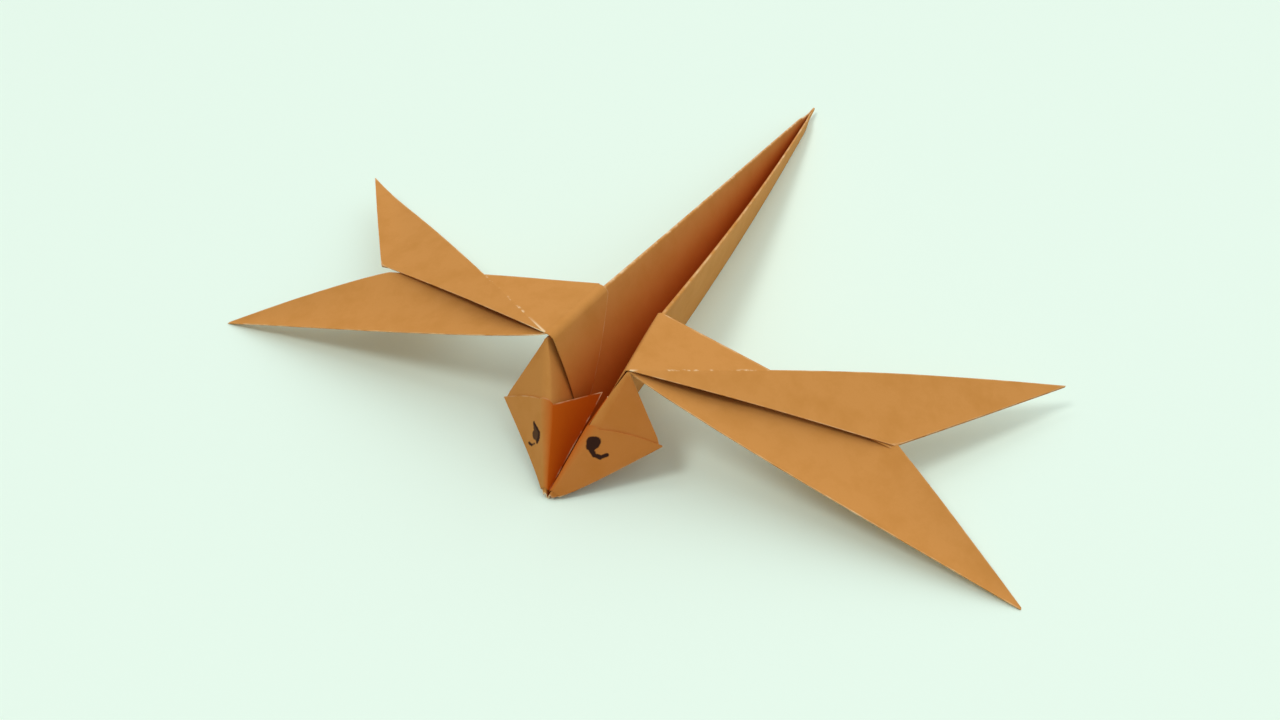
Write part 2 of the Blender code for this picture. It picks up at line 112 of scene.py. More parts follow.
def ridge_height(y, pose):
    if y <= HEAD_LENGTH:
        return mix(NOSE_HEIGHT, ROOT_HEIGHT + pose["ridge_lift"], y / HEAD_LENGTH)
    if y <= ROOT_BACK:
        share = (y - HEAD_LENGTH) / (ROOT_BACK - HEAD_LENGTH)
        return mix(ROOT_HEIGHT, WAIST_HEIGHT, share) + pose["ridge_lift"]
    return mix(WAIST_HEIGHT + pose["ridge_lift"], TAIL_HEIGHT, tail_share(y))


def ridge_radius(y):
    """A soft roll over the cheeks, and a pressed fold along the body."""
    if y >= HEAD_LENGTH:
        return mix(RIDGE_RADIUS, PAPER, tail_share(y))
    share = y / HEAD_LENGTH
    return mix(PAPER, RIDGE_RADIUS, share) + CHEEK_ROLL * math.sin(math.pi * share ** 1.5)


def ridge_centre(y, pose):
    return Vector((ridge_spread(y, pose), ridge_height(y, pose) - ridge_radius(y)))


def beside_ridge(y, pose):
    reach = ridge_radius(y) + PAPER
    return ridge_centre(y, pose) + Vector((reach, -reach))


def leg_end(y, pose):
    """Lower end (x, z) of the paper outside the ridge: the cheek, then the outer wall."""
    corner = Vector((CHEEK_SPREAD, pose["cheek_height"]))
    root = beside_ridge(HEAD_LENGTH, pose)
    if y <= CHEEK_FORWARD:
        share = y / CHEEK_FORWARD
        bulge = pose["cheek_bow"] * math.sin(math.pi * share ** 0.6)
        return beside_ridge(0.0, pose).lerp(corner, share) + Vector((bulge, -bulge))
    if y <= HEAD_LENGTH:
        return corner.lerp(root, (y - CHEEK_FORWARD) / (HEAD_LENGTH - CHEEK_FORWARD))
    if y <= FOOT_START:
        share = (y - HEAD_LENGTH) / (FOOT_START - HEAD_LENGTH)
        return root.lerp(Vector((FOOT_SPREAD, GROUND)), share)
    share = (y - FOOT_START) / (BODY_LENGTH - FOOT_START)
    bow = pose["bow"] * math.sin(math.pi * share)
    return Vector((mix(FOOT_SPREAD, TAIL_FOOT_SPREAD, share) + bow, GROUND))


def wall_foot(y, pose):
    """Where the wall leaves the keel's fold, with that fold's centre, radius and lean."""
    lean = math.atan2(ridge_spread(y, pose), ridge_height(y, pose))
    radius = min(KEEL_RADIUS, ridge_height(y, pose) / 5)
    centre = Vector((0.0, GROUND + radius))
    return centre + radius * Vector((math.cos(lean), -math.sin(lean))), centre, radius, lean


def inner_tangent(centre, radius, point):
    away = point - centre
    return math.atan2(away.y, away.x) % math.tau - math.acos(radius / away.length)


def outer_tangent(centre, radius, point):
    away = point - centre
    return math.atan2(away.y, away.x) + math.acos(min(1.0, radius / away.length))


def outer_leg(y, pose, layer=0.0):
    """Upper end, lower end and normal angle of a layer outside the ridge."""
    centre, radius = ridge_centre(y, pose), ridge_radius(y)
    angle = outer_tangent(centre, radius, leg_end(y, pose))
    normal = Vector((math.cos(angle), math.sin(angle)))
    return centre + normal * (radius + layer), leg_end(y, pose) + normal * layer, angle


def wall_point(bottom, top, share, belly):
    """A point (x, z) on the wall, which leans in a little at half height."""
    point = bottom.lerp(top, share)
    return Vector((point.x - belly * math.sin(math.pi * share), point.y))


def half_section(y, pose):
    """Keel fold, wall, ridge and outer paper of one side at y, from the keel outwards."""
    bottom, keel, keel_radius, lean = wall_foot(y, pose)
    centre, radius = ridge_centre(y, pose), ridge_radius(y)
    upper, lower, angle = outer_leg(y, pose)
    bend = arc(centre, radius, inner_tangent(centre, radius, bottom), angle, RIDGE_STEPS)
    belly = WALL_BELLY * ridge_height(y, pose) / ROOT_HEIGHT
    points = arc(keel, keel_radius, -math.pi / 2, -lean, KEEL_STEPS)[:-1]
    points += [wall_point(bottom, bend[0], share, belly) for share in spaced(WALL_STEPS)[:-1]]
    points += bend
    points += [upper.lerp(lower, share) for share in spaced(LEG_STEPS)[1:]]
    return [mirrored(Vector((point.x, y, point.y)), pose) for point in points]


def in_tail(point):
    """Bend the tail a little to the left, and press its end flat into a short raised beak."""
    bend = TAIL_BEND * tail_share(point.y) ** 1.6
    press = max(0.0, (point.y - PINCH_START) / (BODY_LENGTH - PINCH_START))
    closed = min(1.0, 1.7 * press)
    width = mix(1.0, PINCH_WIDTH, closed * closed * (3 - 2 * closed))
    height = mix(point.z, PINCH_LIFT + PINCH_THICKNESS * point.z, press)
    return Vector((point.x * width + bend, point.y, height))


def body_rows(start, end, count):
    rows = []
    for share in spaced(count):
        y = mix(start, end, share)
        row = list(reversed(half_section(y, LEFT)))[:-1] + half_section(y, RIGHT)
        rows.append([in_tail(point) for point in row])
    return rows


def shaded_half(cheek_shade):
    """Share of the shade tint from the keel outwards: full in the keel, and less up the wall."""
    up_the_wall = [(1 - share) ** 1.1 for share in spaced(WALL_STEPS)[:-1]]
    over_the_ridge = [cheek_shade * share for share in spaced(RIDGE_STEPS)]
    return [1.0] * KEEL_STEPS + up_the_wall + over_the_ridge + [cheek_shade] * LEG_STEPS


def shaded_across(left_shade, right_shade):
    return list(reversed(shaded_half(left_shade)))[:-1] + shaded_half(right_shade)


# Craft paper is dyed right through and uncoated. It looks matt and even, with cloudy fibre a
# few millimetres across and a fine tooth, drawn coarser than it is so that it shows. Pale lines
# along folds and edges are partly rubbed fibre and partly a painted highlight where the edges
# catch light. The tint deep in the folds is shading painted into the material: its colour and its
# shares were chosen by trial against the photo's colours, for this light.
DYE_DEEP = "#C88A43"
DYE_FRESH = "#CE904A"
SHADE_TINT = "#C25B08"
PALE_FIBRE_AND_HIGHLIGHT = "#F0D2A4"
FORMATION, TOOTH = 5.0, 0.45
RUB_AND_HIGHLIGHT_WIDTH, RUB_AND_HIGHLIGHT_SPOTS = 0.24, 2.6
FLECK_AND_HIGHLIGHT_WIDTH, FLECK_AND_HIGHLIGHT_SPOTS = 0.42, 1.7
TOOTH_DEPTH = 0.03


def linear(colour):
    """An sRGB hex colour as the linear values that a shader takes."""
    parts = [int(colour[start:start + 2], 16) / 255 for start in (1, 3, 5)]
    return [part / 12.92 if part <= 0.04045 else ((part + 0.055) / 1.055) ** 2.4
            for part in parts] + [1.0]


def add(tree, kind, inputs, **settings):
    """Add a node: its settings, and for each input a value or the output that feeds it."""
    node = tree.nodes.new(kind)
    for name, value in settings.items():
        setattr(node, name, value)
    for name, value in inputs.items():
        if isinstance(value, bpy.types.NodeSocket):
            tree.links.new(value, node.inputs[name])
        else:
            node.inputs[name].default_value = value
    return node


def blend_colour(tree, share, under, over):
    return add(tree, "ShaderNodeMix", {0: share, 6: under, 7: over}, data_type="RGBA").outputs[2]


def cloud(tree, place, size_mm, low, high):
    """Soft noise of a real size, stretched so it runs from 0 to 1 between low and high."""
    pattern = add(tree, "ShaderNodeTexNoise",
                  {"Vector": place, "Scale": 1000 / size_mm, "Detail": 3.0, "Roughness": 0.6})
    spread = add(tree, "ShaderNodeMapRange",
                 {"Value": pattern.outputs["Fac"], "From Min": low, "From Max": high})
    return spread.outputs["Result"]


def measure(tree, attribute):
    return add(tree, "ShaderNodeAttribute", {}, attribute_name=attribute).outputs["Fac"]


def line_mask(tree, attribute, width_mm, spots):
    """1 on a fold or edge, 0 a width away, broken up into spots but solid in the worn and highlit
    spots. The line is partly rubbed fibre and partly painted highlight.
    """
    near = add(tree, "ShaderNodeMapRange",
               {"Value": measure(tree, attribute), "From Min": 0.0, "From Max": width_mm,
                "To Min": 1.0, "To Max": 0.0}).outputs["Result"]
    worn = add(tree, "ShaderNodeMath", {0: spots, 1: measure(tree, "bare_and_highlit")}, operation="MAXIMUM")
    return add(tree, "ShaderNodeMath", {0: near, 1: worn.outputs[0]}, operation="MULTIPLY",
               use_clamp=True).outputs[0]


def craft_paper(name):
    paper = bpy.data.materials.new(name)
    paper.use_nodes = True
    tree = paper.node_tree
    shader = tree.nodes["Principled BSDF"]
    place = add(tree, "ShaderNodeTexCoord", {}).outputs["Object"]
    formation = cloud(tree, place, FORMATION, 0.3, 0.7)
    tooth = cloud(tree, place, TOOTH, 0.25, 0.75)
    mottle = add(tree, "ShaderNodeMath", {0: tooth, 1: formation, 2: formation},
                 operation="MULTIPLY_ADD").outputs[0]
    shade = blend_colour(tree, mottle, linear(DYE_DEEP), linear(DYE_FRESH))
    shade = blend_colour(tree, measure(tree, "inside"), shade, linear(SHADE_TINT))
    # Pale lines on edges and creases: partly rubbed fibre, partly a painted highlight where they
    # catch light.
    rubbed_and_highlit = line_mask(tree, "rubbed_and_highlit", RUB_AND_HIGHLIGHT_WIDTH, cloud(tree, place, RUB_AND_HIGHLIGHT_SPOTS, 0.38, 0.82))
    shade = blend_colour(tree, rubbed_and_highlit, shade, linear(PALE_FIBRE_AND_HIGHLIGHT))
    flecks_and_highlights = line_mask(tree, "flecked_and_highlit", FLECK_AND_HIGHLIGHT_WIDTH, cloud(tree, place, FLECK_AND_HIGHLIGHT_SPOTS, 0.52, 0.66))
    shade = blend_colour(tree, flecks_and_highlights, shade, linear(PALE_FIBRE_AND_HIGHLIGHT))
    relief = add(tree, "ShaderNodeBump",
                 {"Height": mottle, "Strength": 0.15, "Distance": TOOTH_DEPTH / 1000})
    tree.links.new(shade, shader.inputs["Base Color"])
    tree.links.new(relief.outputs["Normal"], shader.inputs["Normal"])
    shader.inputs["Roughness"].default_value = 0.78
    shader.inputs["Specular IOR Level"].default_value = 0.12
    return paper


# Every panel of the sheet is a grid of points. Panels that share an edge are merged, and the
# sheet then gets its thickness.
FAR_OFF = 9.0
WELD = 0.004
SHARP_FOLD = math.radians(38)


def nearest(points, row, column, lines):
    """How far a point of the grid is from the nearest of the given rows and columns."""
    gaps = [FAR_OFF]
    for kind, index in lines:
        other = points[index][column] if kind == "row" else points[row][index]
        gaps.append((points[row][column] - other).length)
    return min(gaps)


def lay_panel(sheet, points, edges, creases, inside=None):
    """Move the points of a flat grid to where the folded panel has them, and mark its folds.

    inside gives each column its share of the shade tint."""
    rows, columns = len(points) - 1, len(points[0]) - 1
    grid = bmesh.ops.create_grid(sheet, x_segments=columns, y_segments=rows, size=0.5)
    # Distances to the edges and creases that get pale lines of rubbed fibre and painted highlight.
    rubbed_and_highlit = sheet.verts.layers.float["rubbed_and_highlit"]
    flecked_and_highlit = sheet.verts.layers.float["flecked_and_highlit"]
    shaded = sheet.verts.layers.float["inside"]
    for vert in grid["verts"]:
        column = round((vert.co.x + 0.5) * columns)
        row = round((vert.co.y + 0.5) * rows)
        vert[rubbed_and_highlit] = nearest(points, row, column, edges)
        vert[flecked_and_highlit] = nearest(points, row, column, creases)
        vert[shaded] = inside[column] if inside else 0.0
        vert.co = points[row][column]


def fold_sheet(name, panels, paper, bare_and_highlit_spots):
    """Merge the panels into one sheet, give it the paper's thickness and put it in the frame."""
    sheet = bmesh.new()
    for mark in ("rubbed_and_highlit", "flecked_and_highlit", "inside", "bare_and_highlit"):
        sheet.verts.layers.float.new(mark)
    for panel in panels:
        lay_panel(sheet, *panel)
    bmesh.ops.remove_doubles(sheet, verts=sheet.verts, dist=WELD)
    # Spots where the pale lines are solid: worn fibre with a painted highlight.
    bare_and_highlit = sheet.verts.layers.float["bare_and_highlit"]
    for vert in sheet.verts:
        for centre, radius in bare_and_highlit_spots:
            vert[bare_and_highlit] = max(vert[bare_and_highlit], 2 - 2 * (vert.co - centre).length / radius)
    bmesh.ops.recalc_face_normals(sheet, faces=sheet.faces)
    bmesh.ops.translate(sheet, verts=sheet.verts, vec=NOSE_IN_FRAME)
    bmesh.ops.scale(sheet, verts=sheet.verts, vec=(0.001, 0.001, 0.001))
    flat = bpy.data.meshes.new(name + "_flat")
    sheet.to_mesh(flat)
    sheet.free()
    blank = bpy.data.objects.new(name + "_flat", flat)
    bpy.context.scene.collection.objects.link(blank)
    thickness = blank.modifiers.new("paper thickness", "SOLIDIFY")
    thickness.thickness = PAPER / 1000
    thickness.offset = 0.0
    thickness.use_even_offset = True
    shape = blank.evaluated_get(bpy.context.evaluated_depsgraph_get())
    mesh = bpy.data.meshes.new_from_object(shape)
    bpy.data.objects.remove(blank, do_unlink=True)
    mesh.shade_smooth()
    mesh.set_sharp_from_angle(angle=SHARP_FOLD)
    mesh.materials.clear()
    mesh.materials.append(paper)
    piece = bpy.data.objects.new(name, mesh)
    bpy.context.scene.collection.objects.link(piece)
    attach(piece, "root")
    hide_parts("folded_sheet")


sides = [("column", 0), ("column", -1)]
keel_column = WALL_STEPS + KEEL_STEPS + RIDGE_STEPS + LEG_STEPS
ridge_column = KEEL_STEPS + WALL_STEPS + RIDGE_STEPS // 2
left_ridge = ("column", keel_column - ridge_column)
right_ridge = ("column", keel_column + ridge_column)
# Each panel lists its edges and creases with pale rubbed fibre and painted highlight, and each
# column's share of the painted shade.
head = (body_rows(0.0, HEAD_LENGTH, HEAD_ROWS), sides + [("row", 0)], [],
        shaded_across(LEFT["cheek_shade"], RIGHT["cheek_shade"]))
tail = (body_rows(HEAD_LENGTH, BODY_LENGTH, TAIL_ROWS), sides + [left_ridge, right_ridge],
        [left_ridge], shaded_across(0.0, 0.0))
# Worn and highlit spots at the nose: rubbed fibre and painted highlight.
nose_spots = [(Vector((-0.6, 0.2, 1.0)), 1.6), (Vector((0.0, 0.0, 0.3)), 1.0)]
paper = craft_paper("craft_paper")
fold_sheet("trough_and_cheeks", [head, tail], paper, nose_spots)


# Wings
# On each side a tab lies in the trough, rolls softly over the wall and opens into the wing's
# upper panel. That panel is creased back into the hind wing, and turns under into the fore wing.
FORE_TIP = (70.5, -7.6)
CROSS_REACH = 0.30
FRONT_SAG = 1.6
FLAP_LIFT = 0.4
TIP_WIDTH = 0.5
COCKLE, COCKLE_LENGTH = 0.05, 14
TAB_FRONT, TAB_WIDTH, TAB_DEPTH = 14.4, 2.4, 0.80
TAB_STEPS, ROLL_STEPS = 14, 10
INNER_STEPS, OUTER_STEPS = 16, 18
NOTCH_STEPS, FORE_STEPS = 6, 14
TURN_STEPS = 4

# roll is the radius of the tab's roll, droop the wing's fall in degrees, and arch, hind_lift and
# curl the rise of the crease in its middle, at its end and in its last fifth. hind, flap and
# notch are corners, each a length and a sweep in degrees. under_edge is how far the hind wing's
# lower layer is set in at the tip, and bare_and_highlit_root the radius of the spot at the root
# where the pale lines are solid, worn fibre with a painted highlight.
RIGHT_WING = {**RIGHT, "roll": 0.7, "droop": 12.6, "arch": 2.1, "hind_lift": 4.1, "curl": 0.0,
              "hind": (77.3, 28.0), "flap": (44.7, 11.5), "notch": (42.0, 16.8),
              "under_edge": -0.02, "bare_and_highlit_root": 0.3}
LEFT_WING = {**LEFT, "roll": 1.5, "droop": 12.7, "arch": 1.5, "hind_lift": 1.1, "curl": 1.4,
             "hind": (77.8, 27.1), "flap": (46.0, 12.0), "notch": (43.3, 11.6),
             "under_edge": 0.0, "bare_and_highlit_root": 6.0}


def close_set(count):
    """Evenly spaced shares, with a few more close to both ends, where the edge is rubbed pale and
    has a painted highlight.
    """
    near = [0.0, 0.008, 0.02, 0.05]
    return near + spaced(count)[1:-1] + [1 - share for share in reversed(near)]


class Wing:
    """A wing's own frame: out along the wing, back along the body, and up off its plane."""

    def __init__(self, pose):
        self.pose = pose
        droop = math.radians(pose["droop"])
        front, back = self.ridge(HEAD_LENGTH), self.ridge(ROOT_BACK)
        self.back_axis = (back - front).normalized()
        level = Vector((math.cos(droop), 0.0, -math.sin(droop)))
        self.out_axis = (level - self.back_axis * level.dot(self.back_axis)).normalized()
        self.normal = self.out_axis.cross(self.back_axis)
        self.origin = front + self.normal * pose["roll"]
        self.fore = self.place(*FORE_TIP)
        self.hind = self.place(*pose["hind"])
        self.notch = self.place(*pose["notch"])
        self.flap = self.place(*pose["flap"])
        self.root = Vector((0.0, (back - front).length))
        self.cross = self.hind * CROSS_REACH
        tip = self.origin + self.out_axis * self.fore.x + self.back_axis * self.fore.y
        self.fore_dip = (tip.z - GROUND) / self.normal.z

    def ridge(self, y):
        centre = ridge_centre(y, self.pose)
        return Vector((centre.x, y, centre.y))

    def place(self, length, sweep):
        angle = math.radians(sweep)
        return Vector((length * math.cos(angle), length * math.sin(angle)))

    def to_body(self, flat, height):
        """A point of the wing's plane, lifted off it, with the slight cockle of folded paper."""
        ripple = Vector((flat.x / COCKLE_LENGTH, flat.y / COCKLE_LENGTH, self.pose["side"] * 7.0))
        cockle = COCKLE * noise.noise(ripple)
        ease = min(1.0, flat.x / 6)
        point = self.origin + self.out_axis * flat.x + self.back_axis * flat.y
        return mirrored(point + self.normal * (height + cockle * ease), self.pose)

    def crease_height(self, out):
        """Height over the plane of the wing, along the crease, the rear and the back edge."""
        arch = self.pose["arch"] * math.sin(math.pi * min(1.0, out / self.hind.x))
        curl = self.pose["curl"] * max(0.0, 5 * out / self.hind.x - 4) ** 2
        return self.pose["hind_lift"] * (out / self.hind.x) ** 1.5 + arch + curl

    def root_panel(self, share, across):
        """Between the crease (across 0) and the back edge (1), root to crossing."""
        flat = (self.cross * share).lerp(self.root.lerp(self.cross, share), across)
        return self.to_body(flat, self.crease_height(flat.x))

    def hind_height(self, along, across):
        low = FLAP_LIFT * math.sin(math.pi * along)
        return mix(low, self.crease_height(self.hind.x * along), across)

    def hind_wing(self, along, across, depth=0.0):
        """Between the lower edge (across 0) and the crease and rear edge (1)."""
        tip = self.hind + Vector((0.0, -TIP_WIDTH)) * (1 - across)
        flat = (self.flap * along).lerp(tip * along, across)
        return self.to_body(flat, self.hind_height(along, across) - depth)

    def back_edge(self, out):
        """The back edge, from the root to the crossing and from there to the notch."""
        if out <= self.cross.x:
            return self.root.lerp(self.cross, out / self.cross.x)
        share = (out - self.cross.x) / (self.notch.x - self.cross.x)
        return self.cross.lerp(self.notch, share)

    def layer_depth(self, out):
        return LAYER_STEP * (1 + min(1.0, out / self.cross.x))

    def back_height(self, out):
        """Height of the upper layer over the back edge, on the root or below the hind wing."""
        if out <= self.cross.x:
            return self.crease_height(out)
        flat = self.back_edge(out)
        by_flap = flat.cross(self.hind) / self.flap.cross(self.hind)
        by_hind = flat.cross(self.flap) / self.hind.cross(self.flap)
        return self.hind_height(by_flap + by_hind, by_hind / (by_flap + by_hind))

    def fore_wing(self, out, across):
        """Between the front edge (across 0) and the back and outer edge (1)."""
        along = out / self.fore.x
        front = self.fore * along
        sag = LAYER_STEP * (1 - along) + FRONT_SAG * math.sin(math.pi * along ** 0.7)
        low = -sag - self.fore_dip * along ** 1.5
        if out <= self.notch.x:
            back = self.back_edge(out)
            high = self.back_height(out) - self.layer_depth(out)
        else:
            share = (out - self.notch.x) / (self.fore.x - self.notch.x)
            back = self.notch.lerp(self.fore + Vector((0.0, TIP_WIDTH)), share)
            start = self.back_height(self.notch.x) - self.layer_depth(self.notch.x)
            high = mix(start, -self.fore_dip, share ** 1.3)
        return self.to_body(front.lerp(back, across), mix(low, high, across ** 2))

    def turn(self, upper, lower, away):
        """Points round a pressed fold, from the lower layer to the upper one."""
        centre = (upper + lower) / 2
        up = (upper - lower) / 2
        outward = away.normalized() * up.length
        angles = [math.pi * share for share in spaced(TURN_STEPS)[1:-1]]
        return [centre - up * math.cos(angle) + outward * math.sin(angle) for angle in angles]

    def turn_rows(self, upper, lower):
        """Rows round the fold that joins two layers along their back edge, from below."""
        back = mirrored(self.back_axis, self.pose)
        turns = [self.turn(top, bottom, back) for top, bottom in zip(upper, lower)]
        return [[turn[index] for turn in turns] for index in range(TURN_STEPS - 1)]


def tab_row(wing, across):
    """From the tab's lower end up the trough's wall and over the ridge."""
    pose = wing.pose
    y = mix(HEAD_LENGTH, ROOT_BACK, across)
    tab_y = TAB_FRONT + TAB_WIDTH * across
    bottom = wall_foot(tab_y, pose)[0]
    top = ridge_centre(tab_y, pose) - Vector((ridge_radius(tab_y), 0.0))
    tab_end = top.lerp(bottom, TAB_DEPTH)
    centre = ridge_centre(y, pose)
    start = inner_tangent(centre, pose["roll"], tab_end)
    bend = arc(centre, pose["roll"], start, math.atan2(wing.normal.z, wing.normal.x), ROLL_STEPS)
    row = []
    for share in spaced(TAB_STEPS)[:-1]:
        point = wall_point(tab_end, bend[0], share, WALL_BELLY)
        row.append(mirrored(Vector((point.x, mix(tab_y, y, share), point.y)), pose))
    return row + [mirrored(Vector((point.x, y, point.y)), pose) for point in bend]


def fold_wing(name, pose):
    wing = Wing(pose)
    inner = spaced(INNER_STEPS)
    outer = [mix(CROSS_REACH, 1.0, share) for share in spaced(OUTER_STEPS)]
    across = close_set(10)
    tab = [tab_row(wing, share) for share in across]
    root = [[wing.root_panel(share, step) for share in inner] for step in across]
    flap = [[wing.hind_wing(share * CROSS_REACH, step) for share in inner] for step in across]
    hind = [[wing.hind_wing(along, step) for along in outer] for step in across]
    insets = [mix(0.2, pose["under_edge"], share) for share in spaced(OUTER_STEPS)]
    under = [[wing.hind_wing(along, mix(inset, 1.0, step), LAYER_STEP)
              for along, inset in zip(outer, insets)] for step in reversed(across)]
    hind += list(reversed(wing.turn_rows(hind[-1], under[0])))
    outs = [wing.cross.x * share for share in inner]
    fore = [[wing.fore_wing(out, step) for out in outs] for step in across]
    fore += wing.turn_rows(root[-1], fore[-1]) + [root[-1]]
    outs = [mix(wing.cross.x, wing.notch.x, share) for share in spaced(NOTCH_STEPS)]
    outs += [mix(wing.notch.x, wing.fore.x, share) for share in spaced(FORE_STEPS)[1:]]
    tip = [[wing.fore_wing(out, step) for out in outs] for step in across]
    last = len(across) - 1
    up_the_tab = [mix(0.9, 0.0, share) for share in spaced(TAB_STEPS)[:-1]]
    # Each panel lists its edges and creases with pale rubbed fibre and painted highlight, and the
    # tab its share of the painted shade.
    panels = [
        (tab, [("row", -1)], [], up_the_tab + [0.0] * (ROLL_STEPS + 1)),
        (root, [("row", -1)], [("row", 0)]),
        (flap, [("row", 0)], [("row", -1)]),
        (hind + under, [("row", 0), ("row", last), ("column", -1)], []),
        (fore, [("row", 0), ("row", last)], []),
        (tip, [("row", 0), ("row", -1), ("column", -1)], []),
    ]
    fold_sheet(name, panels, paper, [(mirrored(wing.origin, pose), pose["bare_and_highlit_root"])])


fold_wing("right_wing", RIGHT_WING)
fold_wing("left_wing", LEFT_WING)


# Head pockets
# The front layer of each cheek, turned back up from the cheek's lower edge and over the ridge
# into the trough. Its top edge is loose, and the left one stands a little off the wall. The eyes
# are drawn on it with a pen, in strokes of dark ink that runs a little in the paper's fibre.
INK = "#381E14"
INK_THIN = "#5A3D26"
INK_EDGE = 0.1
INK_BLEED = 0.3
FOLD_STEPS, OUTER_HALF_STEPS, POCKET_ROLL_STEPS, INNER_HALF_STEPS = 6, 14, 8, 12

# at is where the top edge crosses the ridge, as a share of the head. open is how far the inner
# half stands off the wall in degrees, lift how much higher its corner is, and
# bare_and_highlit_corner the radius of the spot there where the pale lines are solid, worn fibre
# with a painted highlight. Only the left top edge gets the pale line of rubbed fibre and painted
# highlight.
TOP_EDGE = ("row", -1)
CHEEK_FOLD = ("column", 3)
RIGHT_POCKET = {**RIGHT, "at": 0.56, "open": 1.5, "lift": 0.0, "bare_and_highlit_corner": 0.1,
                "rubbed_and_highlit": [CHEEK_FOLD]}
LEFT_POCKET = {**LEFT, "at": 0.61, "open": 9.0, "lift": 1.3, "bare_and_highlit_corner": 2.2,
               "rubbed_and_highlit": [CHEEK_FOLD, TOP_EDGE]}


def pocket_corner(pose):
    """From the ridge to the pocket's free corner, which stands off the trough's wall."""
    axis = Vector((ROOT_SPREAD, HEAD_LENGTH, ROOT_HEIGHT + pose["ridge_lift"])).normalized()
    at = HEAD_LENGTH * pose["at"]
    end = outer_leg(CHEEK_FORWARD, pose)[1]
    top = ridge_centre(at, pose)
    away = Vector((end.x - top.x, CHEEK_FORWARD - at, end.y - top.y))
    rise = away.dot(axis)
    half = (away - axis * rise).length
    down = (Vector((0.0, 1.0, 0.0)) - axis * axis.y).normalized()
    turn = math.radians(pose["open"])
    corner = (down * math.cos(turn) + axis.cross(down) * math.sin(turn)) * half + axis * rise
    return corner + Vector((0.0, 0.0, pose["lift"]))


def pocket_row(share, pose):
    """Fold under the cheek, outer half, roll and inner half, at a share of the length."""
    at = HEAD_LENGTH * pose["at"]
    y = share * CHEEK_FORWARD
    angle = outer_leg(y, pose)[2]
    centre = leg_end(y, pose) + LAYER_STEP / 2 * Vector((math.cos(angle), math.sin(angle)))
    row = [Vector((point.x, y, point.y))
           for point in arc(centre, LAYER_STEP / 2, angle - math.pi, angle, FOLD_STEPS)]
    for reach in reversed(spaced(OUTER_HALF_STEPS)[:-1]):
        y = share * mix(at, CHEEK_FORWARD, reach)
        upper, lower, _ = outer_leg(y, pose, LAYER_STEP)
        point = upper.lerp(lower, reach)
        row.append(Vector((point.x, y, point.y)))
    y = share * at
    centre, radius = ridge_centre(y, pose), ridge_radius(y) + LAYER_STEP
    inner = inner_tangent(centre, radius, wall_foot(y, pose)[0])
    inner -= math.radians(pose["open"])
    bend = arc(centre, radius, outer_leg(y, pose)[2], inner, POCKET_ROLL_STEPS)
    row += [Vector((point.x, y, point.y)) for point in bend[1:]]
    corner = pocket_corner(pose)
    row += [row[-1] + corner * share * reach for reach in spaced(INNER_HALF_STEPS)[1:]]
    return [mirrored(point, pose) for point in row]


def stroke(tree, place, start, end, width):
    """1 on a pen stroke between two points in millimetres and 0 off it, with a soft edge."""
    start, along = Vector(start + (0,)), Vector(end + (0,)) - Vector(start + (0,))
    away = add(tree, "ShaderNodeVectorMath", {0: place, 1: start}, operation="SUBTRACT").outputs[0]
    share = add(tree, "ShaderNodeVectorMath", {0: away, 1: along / along.length_squared},
                operation="DOT_PRODUCT").outputs["Value"]
    share = add(tree, "ShaderNodeClamp", {"Value": share}).outputs[0]
    reached = add(tree, "ShaderNodeVectorMath", {0: along, "Scale": share}, operation="SCALE")
    gap = add(tree, "ShaderNodeVectorMath", {0: away, 1: reached.outputs[0]},
              operation="DISTANCE").outputs["Value"]
    return add(tree, "ShaderNodeMapRange",
               {"Value": gap, "From Min": width / 2 - INK_EDGE, "From Max": width / 2 + INK_EDGE,
                "To Min": 1.0, "To Max": 0.0}).outputs["Result"]


def ink_eye(paper, centre, turn, inks):
    """Draw strokes of each ink on the paper, in millimetres across and up from the centre."""
    tree = paper.node_tree
    shader = tree.nodes["Principled BSDF"]
    place = add(tree, "ShaderNodeTexCoord", {}).outputs["Object"]
    flat = add(tree, "ShaderNodeMapping",
               {"Vector": place, "Location": centre, "Rotation": turn,
                "Scale": (0.001, 0.001, 0.0004)}, vector_type="TEXTURE").outputs[0]
    fibre = add(tree, "ShaderNodeTexNoise", {"Vector": flat, "Scale": 2.2}).outputs["Color"]
    flat = add(tree, "ShaderNodeVectorMath", {0: fibre, 1: (INK_BLEED, INK_BLEED, 0.0), 2: flat},
               operation="MULTIPLY_ADD").outputs[0]
    flat = add(tree, "ShaderNodeVectorMath", {0: flat, 1: (INK_BLEED / 2, INK_BLEED / 2, 0.0)},
               operation="SUBTRACT").outputs[0]
    for ink, strokes in inks:
        drawn = 0.0
        for start, end, width in strokes:
            drawn = add(tree, "ShaderNodeMath", {0: stroke(tree, flat, start, end, width),
                                                 1: drawn}, operation="MAXIMUM").outputs[0]
        under = shader.inputs["Base Color"].links[0].from_socket
        tree.links.new(blend_colour(tree, drawn, under, linear(ink)), shader.inputs["Base Color"])


